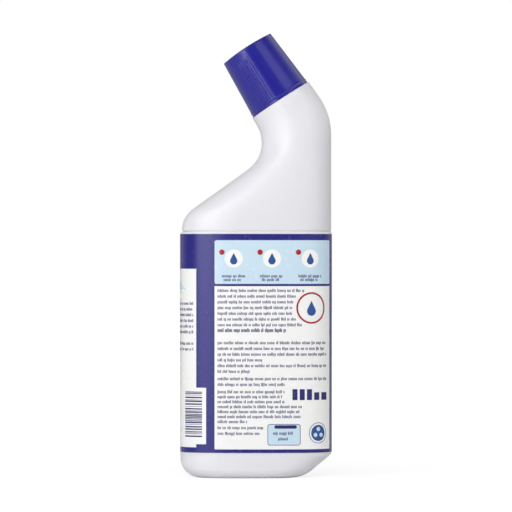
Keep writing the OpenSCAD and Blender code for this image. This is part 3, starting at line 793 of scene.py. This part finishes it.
# %% Film
FILM_COLUMNS = 320
film_s = np.linspace(-half_round, half_round, FILM_COLUMNS, endpoint=False)
film_z = np.array([LABEL_BOTTOM, LABEL_TOP, LABEL_TOP, LABEL_BOTTOM])
film_lift = np.array([FILM_GAP + FILM_T, FILM_GAP + FILM_T, FILM_GAP, FILM_GAP])
film_points = np.stack([wrap(film_s, z, lift) for z, lift in zip(film_z, film_lift)])
i = np.arange(FILM_COLUMNS)
k = (i + 1) % FILM_COLUMNS
top_row = 3*FILM_COLUMNS
film_quads = np.concatenate([grid_quads(4, FILM_COLUMNS), np.stack([top_row + i, top_row + k, k, i], -1)])
film = make_object("label_film_wrap", film_points.reshape(-1, 3), film_quads, smooth=True)
keep_edges_crisp(film, 40)
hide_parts("label_film")
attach(film, "bottle_body")

# %% [markdown]
# ## The print
# The panels have the real label's places and colours. What was lettering is plain strokes in rows: each
# stands where a letter would, in words of uneven length, so that a block of them is as grey as small print
# from a step away and says nothing from near.

# %% Print layout
PANEL_IN = 20.7*MM
PANEL_BACK_IN = 1.7*MM
PANEL_DROP = 3.7*MM
PALE_H = 26*MM
PANEL_GAP = 1.3*MM
FOOT_MARGIN = 2.1*MM
END_IN = 9.8*MM
END_DROP = 20.7*MM
LINE_PITCH = 3.4*MM
LINE_H = 1.1*MM
PRINT_MARGIN = 1.8*MM
RING_R = 9.4*MM
RING_LINE = 1.1*MM
DISC_R = 4.8*MM

pale_z1 = LABEL_TOP - PANEL_DROP
pale_z0 = pale_z1 - PALE_H
white_z1 = pale_z0 - PANEL_GAP
white_z0 = LABEL_BOTTOM + FOOT_MARGIN
end_z1 = LABEL_TOP - END_DROP
end_z0 = white_z0 + FOOT_MARGIN/2
panel_x0 = PANEL_IN - half_w
panel_x1 = half_w - PANEL_BACK_IN
end_x = END_IN - half_w
print_x0 = panel_x0 + PRINT_MARGIN
print_x1 = panel_x1 - PRINT_MARGIN
ring_x = print_x1 - RING_R + RING_LINE/2
ring_z = white_z1 - 2*PRINT_MARGIN - RING_R
disc_x = panel_x1 - PRINT_MARGIN - DISC_R
disc_z = white_z0 + 2*DISC_R

white = Ink("print_white_fields", "print_white")
pale = Ink("print_pale_fields", "print_pale_blue")
dark = Ink("print_dark_marks", "print_dark", level=1)
red = Ink("print_red_marks", "print_red", level=1)
blue = Ink("print_blue_marks", "print_blue", level=1)

# %% Panels
CODE_W = 10*MM
CODE_H = 27*MM
code_x0 = end_x - 0.65*CODE_W
code_z0 = white_z0 + 4*PRINT_MARGIN
code_margin = 1.3*PRINT_MARGIN

white.add(field(along(panel_x0), along(panel_x1), white_z0, white_z1))
white.add(field(-along(end_x), along(end_x), end_z0, end_z1))
white.add(field(along(end_x), along(code_x0 + CODE_W + code_margin),
                code_z0 - 1.8*code_margin, code_z0 + CODE_H + code_margin))
pale.add(field(along(panel_x0), along(panel_x1), pale_z0, pale_z1, corner=1.2*MM))

MARK_H = 9.5*MM
mark_s = np.linspace(-1, 1, 31)*along(end_x - 0.6*MARK_H)
mark_z0 = end_z1 - 1.3*MARK_H
mark_top = mark_z0 + 0.02*MM + MARK_H*(1 - np.abs(mark_s)/mark_s[-1])
pale.add(np.stack([np.stack([mark_s, mark_z0 + 0*mark_s], -1), np.stack([mark_s, mark_top], -1)]), level=1)

# %% [markdown]
# Small print is made from a seeded random generator, so every run gives the same strokes. A word has two to
# nine of them. Some are taller, as letters with stems are.

# %% Rows of small print
rng = np.random.default_rng(7)
STROKE = 0.46*MM
STROKE_STEP = 0.74*MM


def small_print(s0, s1, base_z, x_height=1.35*MM, stroke=STROKE):
    """Strokes along a row from s0 to s1, in words, with their feet at base_z."""
    slots = int((s1 - s0)/STROKE_STEP)
    words = np.cumsum(rng.integers(3, 10, slots))
    is_gap = np.isin(np.arange(slots), words)
    tall = rng.random(slots) < 0.22
    low = rng.random(slots) < 0.08
    at = s0 + STROKE_STEP*np.arange(slots)[~is_gap]
    top = base_z + x_height*np.where(tall, 1.35, 1.0)[~is_gap]
    foot = base_z - x_height*np.where(low, 0.3, 0.0)[~is_gap]
    return bars(at, at + stroke, foot, top)


def print_row(x0, x1, base_z, **style):
    dark.add(small_print(along(x0), along(x1), base_z, **style))


BESIDE_ROWS = 7
for row in range(BESIDE_ROWS):
    z = white_z1 - (row + 0.7)*LINE_PITCH
    clear = math.sqrt(max(0, (RING_R + PRINT_MARGIN)**2 - (z - ring_z)**2))
    print_row(print_x0, min(ring_x - clear, print_x1), z - LINE_H)

PARAGRAPHS = [
    (0.27, 1, [0.64]),
    (0.345, 1, [1, 0.98, 1, 0.42, 1, 0.3]),
    (0.565, 1, [1, 0.62]),
    (0.645, 0.87, [0.62, 0.6, 0.62, 0.78, 0.76, 0.78, 0.28]),
    (0.865, 1, [0.43, 0.4]),
]
for start, pitch, widths in PARAGRAPHS:
    bold = {"stroke": 0.56*MM, "x_height": 1.7*MM} if len(widths) == 1 else {}
    for row, width in enumerate(widths):
        z = white_z1 + start*(white_z0 - white_z1) - row*pitch*LINE_PITCH
        print_row(print_x0, print_x0 + width*(print_x1 - print_x0), z - LINE_H, **bold)

for row in range(8):
    z = end_z1 - (row + (7 if row > 5 else 6))*LINE_PITCH
    dark.add(small_print(-along(end_x - LINE_H), along(end_x - LINE_H), z - LINE_H))

# %% Stripes, blocks, box and discs
BLOCK_COUNT = 5
BLOCK_W = 3*MM
BLOCK_H = 6.5*MM
BOX_W = 18.9*MM
BOX_H = 12*MM
CODE_EDGES = 48
code_edges = np.cumsum(rng.integers(1, 4, CODE_EDGES))
code_edges = code_z0 + CODE_H*(code_edges - code_edges[0])/(code_edges[-1] - code_edges[0])
dark.add(bars(along(code_x0), along(code_x0 + CODE_W), code_edges[0::2], code_edges[1::2], columns=10))
block = np.arange(BLOCK_COUNT)
block_pitch = 1.43*BLOCK_W
block_x = print_x1 - (BLOCK_COUNT - 1 - block)*block_pitch - BLOCK_W
block_z0 = white_z0 + 4.5*BLOCK_H
dark.add(bars(along(block_x), along(block_x + BLOCK_W), block_z0,
              block_z0 + BLOCK_H*np.where(block < 3, 1, 0.7), columns=5))

box_x1 = disc_x - DISC_R - 3.4*PRINT_MARGIN
box_x0 = box_x1 - BOX_W
box_z0 = white_z0 + 1.5*PRINT_MARGIN
box_z1 = box_z0 + BOX_H
line = 0.35*MM
dark.add(field(along(box_x0 - line), along(box_x1 + line), box_z0 - line, box_z1 + line, corner=1.5*MM))
pale.add(field(along(box_x0), along(box_x1), box_z0, box_z1, corner=1.2*MM), level=2)
dark.add(field(along(box_x0 + 0.2*BOX_W), along(box_x1 - 0.1*BOX_W), box_z1 - 0.2*BOX_H, box_z1 - 0.03*BOX_H,
               corner=0.8*MM), level=3)
for row in range(2):
    inset = (3 + 3*row)*MM
    row_z = box_z1 - (0.5 + 0.28*row)*BOX_H
    dark.add(small_print(along(box_x0 + inset), along(box_x1 - inset), row_z), level=3)

blue.add(circle(along(disc_x), disc_z, DISC_R), closed=True)
blue.add(circle(along(disc_x), disc_z, DISC_R + 1.4*MM, hole=DISC_R + 1.05*MM), closed=True)
for turn in np.radians([90, 210, 330]):
    pale.add(circle(along(disc_x) + 0.48*DISC_R*math.cos(turn), disc_z + 0.48*DISC_R*math.sin(turn),
                    0.26*DISC_R, columns=32), level=2, closed=True)
red.add(circle(along(ring_x), ring_z, RING_R, hole=RING_R - RING_LINE), closed=True)
blue.add(drop_shape(along(ring_x), ring_z - 0.2*RING_R, 0.3*RING_R), closed=True)

# %% Icons on the pale panel
ICON_COUNT = 3
ICON_R = 5.4*MM
icon_dot_r = 0.3*ICON_R
icon_z = pale_z0 + 0.58*PALE_H
for k in range(ICON_COUNT):
    x = panel_x0 + (panel_x1 - panel_x0)*(k + 0.5)/ICON_COUNT
    white.add(circle(along(x), icon_z, ICON_R), level=1, closed=True)
    blue.add(drop_shape(along(x), icon_z - 0.25*ICON_R, 0.4*ICON_R), level=2, closed=True)
    red.add(circle(along(x - ICON_R - icon_dot_r), icon_z + ICON_R - icon_dot_r, icon_dot_r), closed=True)
    for row in range(2):
        print_row(x - (1.3 - 0.2*row)*ICON_R, x + (1.3 - 0.4*row)*ICON_R,
                  pale_z0 + (1.5 + 2*(1 - row))*LINE_H)

# %% The front
FRONT_R = 25*MM
front_z = LABEL_BOTTOM + 0.6*(LABEL_TOP - LABEL_BOTTOM)


def on_front(sheet):
    """Lays a figure that was drawn about s = 0 on the middle of the front, where s is negative."""
    return sheet - np.array([along(0.0), 0])


white.add(on_front(circle(0, front_z, FRONT_R, columns=128)), closed=True)
pale.add(on_front(circle(0, front_z, FRONT_R - 2*MM, hole=FRONT_R - 4.4*MM, columns=128)), level=1,
         closed=True)
blue.add(on_front(drop_shape(0, front_z - 0.22*FRONT_R, 0.36*FRONT_R)), closed=True)
bar_h, bar_pitch = 2*LINE_H, 0.2*FRONT_R
bar_z = front_z - 1.5*FRONT_R - bar_pitch
for k in range(3):
    reach, z = FRONT_R - (k + 1)*bar_pitch, bar_z - k*bar_pitch
    white.add(on_front(field(-reach, reach, z, z + bar_h, corner=0.9*MM)))
red.add(on_front(field(-0.36*FRONT_R, 0.36*FRONT_R, bar_z + bar_pitch, bar_z + bar_pitch + bar_h,
                       corner=0.9*MM)), level=0)

white_plates = white.finish("print_white")
pale_plates = pale.finish("print_pale")
dark_plates = dark.finish("print_dark")
red_plates = red.finish("print_red")
blue_plates = blue.finish("print_blue")

# %% [markdown]
# ## Finishes
# Blown polyethylene is white and satin, with a faint orange-peel surface and a thin line where the two
# halves of the mould met, in the plane y = 0. Light goes a little way into it, which softens its shadows. The
# injected cap is smoother and shinier. The film is satin too, with a slight waviness from the plastic under
# it, and the ink shares its gloss.

# %% Blown polyethylene
plastic = Finish("white_polyethylene", srgb(237, 236, 241), 0.36, Subsurface_Weight=0.35,
                 Subsurface_Scale=2.5*MM, Subsurface_Radius=(1, 0.95, 0.9))
plastic.tint(plastic.noise(9*MM)*0.5, srgb(233, 232, 238))
plastic.feed("Roughness", plastic.noise(3*MM)*0.1 + 0.33)
split = plastic.node("ShaderNodeSeparateXYZ", None, {"Vector": plastic.place})
mould_line = split["Y"].size() < 0.12*MM
plastic.bump(plastic.noise(0.9*MM, 3.0)*0.15 + mould_line*0.6, 0.08*MM)
for thing in (bottle, neck_thread, lugs):
    thing.data.materials.append(plastic.material)

# %% Cap plastic
cap_finish = Finish("blue_polypropylene", srgb(33, 31, 141), 0.2)
cap_finish.tint(cap_finish.noise(6*MM)*0.4, srgb(38, 36, 146))
cap_finish.feed("Roughness", cap_finish.noise(2*MM)*0.06 + 0.17)
cap_finish.bump(cap_finish.noise(0.7*MM, 3.0), 0.01*MM)
for thing in (cap, cap_thread):
    thing.data.materials.append(cap_finish.material)

# %% Film and inks
FILM_ROUGHNESS = 0.27


def ink_finish(name, color, other):
    """Printed film: a sheen with a faint waviness, and a colour that isn't quite even."""
    finish = Finish(name, color, FILM_ROUGHNESS, Specular_IOR_Level=0.42)
    finish.tint(finish.noise(12*MM)*0.4, other)
    finish.feed("Roughness", finish.noise(5*MM)*0.03 + (FILM_ROUGHNESS - 0.015))
    finish.bump(finish.noise(9*MM, 1.0), 0.008*MM)
    return finish


INKS = [
    (film, "indigo_film", (42, 39, 126), (37, 34, 119)),
    (white_plates, "white_ink", (249, 249, 248), (246, 246, 245)),
    (pale_plates, "pale_blue_ink", (206, 228, 243), (200, 224, 241)),
    (dark_plates, "dark_ink", (52, 46, 108), (46, 40, 102)),
    (red_plates, "red_ink", (172, 44, 44), (164, 38, 40)),
    (blue_plates, "blue_ink", (46, 86, 152), (40, 78, 146)),
]
for thing, name, color, other in INKS:
    thing.data.materials.append(ink_finish(name, srgb(*color), srgb(*other)).material)

# %% Hidden pieces
insert_finish = Finish("natural_polyethylene", srgb(236, 238, 238), 0.4)
insert_finish.tint(insert_finish.noise(4*MM)*0.5, srgb(230, 233, 234))
insert_finish.bump(insert_finish.noise(0.6*MM, 3.0), 0.01*MM)
foam = Finish("white_foam", srgb(228, 228, 224), 0.8)
foam.tint(foam.noise(0.5*MM)*0.7, srgb(212, 212, 208))
foam.bump(foam.noise(0.4*MM, 3.0), 0.06*MM)
for node, finish in (("spout_insert", insert_finish), ("cap_liner", foam)):
    frame["nodes"][node].material_slots[0].material = finish.material

# %% [markdown]
# ## Studio
# The photograph is a cut-out on pure white under broad soft light. Each softbox is given by how much light
# it adds to a white surface that faces it, which keeps the sum plain. Three of them show in the gloss and
# light nothing. The surroundings glow behind the bottle and are dim in front. In the gloss they are dimmer
# still in front, and dark straight behind, so that the edges don't flash. The floor shows as white to the
# camera but still takes the bottle's shadow.

# %% Softboxes
AIM_Z = 0.14


def softbox(name, left, away, height, size, share, mirrored=True, lights=True):
    """A lamp so many degrees to the camera's left, aimed level at the bottle's axis if it is mirrored in the
    gloss and at the bottle if it isn't. Its power is share * pi^2 * distance^2. One that only adds sheen
    lights nothing."""
    lamp = bpy.data.lights.new(name, "AREA")
    lamp.shape = "RECTANGLE"
    lamp.size, lamp.size_y = size
    place = np.array([-away*math.sin(math.radians(left)), -away*math.cos(math.radians(left)), height])
    to_bottle = np.array([0, 0, AIM_Z]) - place
    lamp.energy = share*math.pi**2*float(to_bottle @ to_bottle)
    thing = bpy.data.objects.new(name, lamp)
    thing.location = place
    aim = to_bottle*[1, 1, 0] if mirrored else to_bottle
    thing.rotation_euler = Vector(aim).to_track_quat("-Z", "Y").to_euler()
    thing.visible_glossy = mirrored
    thing.visible_diffuse = lights
    bpy.context.scene.collection.objects.link(thing)


softbox("left", 38, 1.9, 0.95, (1.5, 1.8), 0.48)
softbox("left_sheen", 36, 1.9, 0.95, (1.2, 1.8), 0.28, lights=False)
softbox("right", -92, 1.9, 1.05, (1.3, 1.4), 0.17)
softbox("right_sheen", -51, 1.9, 1.05, (1.8, 1.6), 0.29, lights=False)
softbox("right_edge", -128, 1.9, 1.05, (1.0, 1.6), 0.05, lights=False)
softbox("fill", 0, 2.2, 1.5, (1.4, 0.8), 0.355, mirrored=False)

# %% Floor and surroundings
floor = make_object("floor", np.array([(-8, -8, 0), (8, -8, 0), (8, 8, 0), (-8, 8, 0)], float),
                    np.array([[0, 1, 2, 3]]), smooth=False)
floor_finish = Finish("pale_floor", (0.88, 0.88, 0.88), 0.9, Specular_IOR_Level=0.0)
seen = floor_finish.node("ShaderNodeLightPath")["Is Camera Ray"]
floor_finish.tint(seen, (0.3, 0.3, 0.3))
far = floor_finish.node("ShaderNodeVectorMath", {"operation": "LENGTH"}, {0: floor_finish.place})["Value"]
floor_finish.shader.inputs["Emission Color"].default_value = (1, 1, 1, 1)
floor_finish.feed("Emission Strength", seen*(floor_finish.math("MINIMUM", far, 0.8)*0.2 + 0.78))
floor.data.materials.append(floor_finish.material)

world = bpy.data.worlds.new("studio")
world.use_nodes = True
bpy.context.scene.world = world
studio = Nodes(world.node_tree, "Background")
ray = studio.node("ShaderNodeLightPath")
ahead = studio.node("ShaderNodeTexCoord")["Generated"]
toward_back = studio.node("ShaderNodeSeparateXYZ", None, {"Vector": ahead})["Y"]
gloss = ray["Is Glossy Ray"]
glow = studio.node("ShaderNodeMapRange", None, {"Value": toward_back, "From Min": gloss*0.3 - 0.2,
                                                "From Max": 0.5, "To Min": 0.18 - 0.15*gloss,
                                                "To Max": 0.6})["Result"]
flag = studio.node("ShaderNodeMapRange", None, {"Value": toward_back, "From Min": 0.85, "From Max": 0.96,
                                                "To Min": 1.0, "To Max": 1 - 0.95*gloss})["Result"]
seen = studio.math("MAXIMUM", ray["Is Camera Ray"], ray["Is Transmission Ray"])
studio.feed("Strength", studio.math("MAXIMUM", seen, glow*flag))
studio.shader.inputs["Color"].default_value = (1, 1, 1, 1)
bpy.context.scene.view_settings.view_transform = "Standard"
